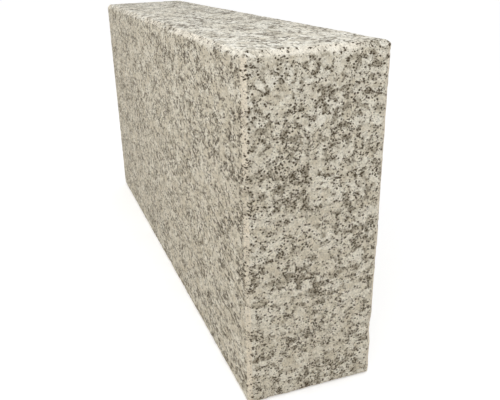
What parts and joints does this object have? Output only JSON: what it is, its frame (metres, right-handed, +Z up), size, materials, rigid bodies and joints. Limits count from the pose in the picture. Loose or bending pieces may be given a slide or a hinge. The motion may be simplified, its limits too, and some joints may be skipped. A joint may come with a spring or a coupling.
{
  "type": "granite kerb stone",
  "caption": "Straight rectangular kerb stone sawn from speckled grey-beige granite, with every arris lightly bevelled, laid on its narrow bed to edge a road, path or bed.",
  "frame": {"origin": "middle of the bed, the long narrow face that the stone stands on", "axes": "+X along the length, from joint face to joint face; +Y across the width, from the front face to the back face; +Z up, from the bed to the top face"},
  "size_m": [0.5, 0.1, 0.25],
  "materials": {
    "granite": "sawn and lightly roughened, matt, with cream feldspar, grey quartz and small black mica grains"
  },
  "bodies": {
    "root": {"kerb_stone": "granite"}
  },
  "joints": []
}
